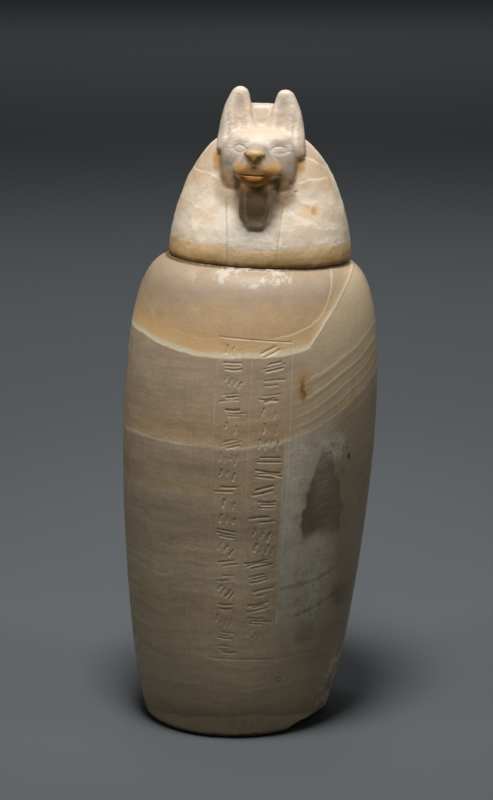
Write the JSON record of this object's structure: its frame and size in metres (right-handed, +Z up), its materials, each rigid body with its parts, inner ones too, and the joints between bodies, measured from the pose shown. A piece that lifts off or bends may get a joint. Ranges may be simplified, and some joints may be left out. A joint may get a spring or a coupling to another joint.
{
  "type": "canopic jar",
  "caption": "Hollow banded travertine jar, swelling to rounded shoulders, with a loose lid carved as a jackal head in a long wig.",
  "frame": {"origin": "centre of the jar's flat underside, as it was before the foot was chipped", "axes": "+Z up from the underside, -Y towards the viewer of the jackal's face and the inscription, +X the side that the jar leans to"},
  "size_m": [0.161, 0.1596, 0.4026],
  "materials": {
    "jar_travertine": "hand-smoothed banded travertine, worn satin",
    "lid_travertine": "hand-smoothed cream travertine, worn satin"
  },
  "bodies": {
    "root": {"jar": "jar_travertine", "lid": "lid_travertine"}
  },
  "joints": []
}
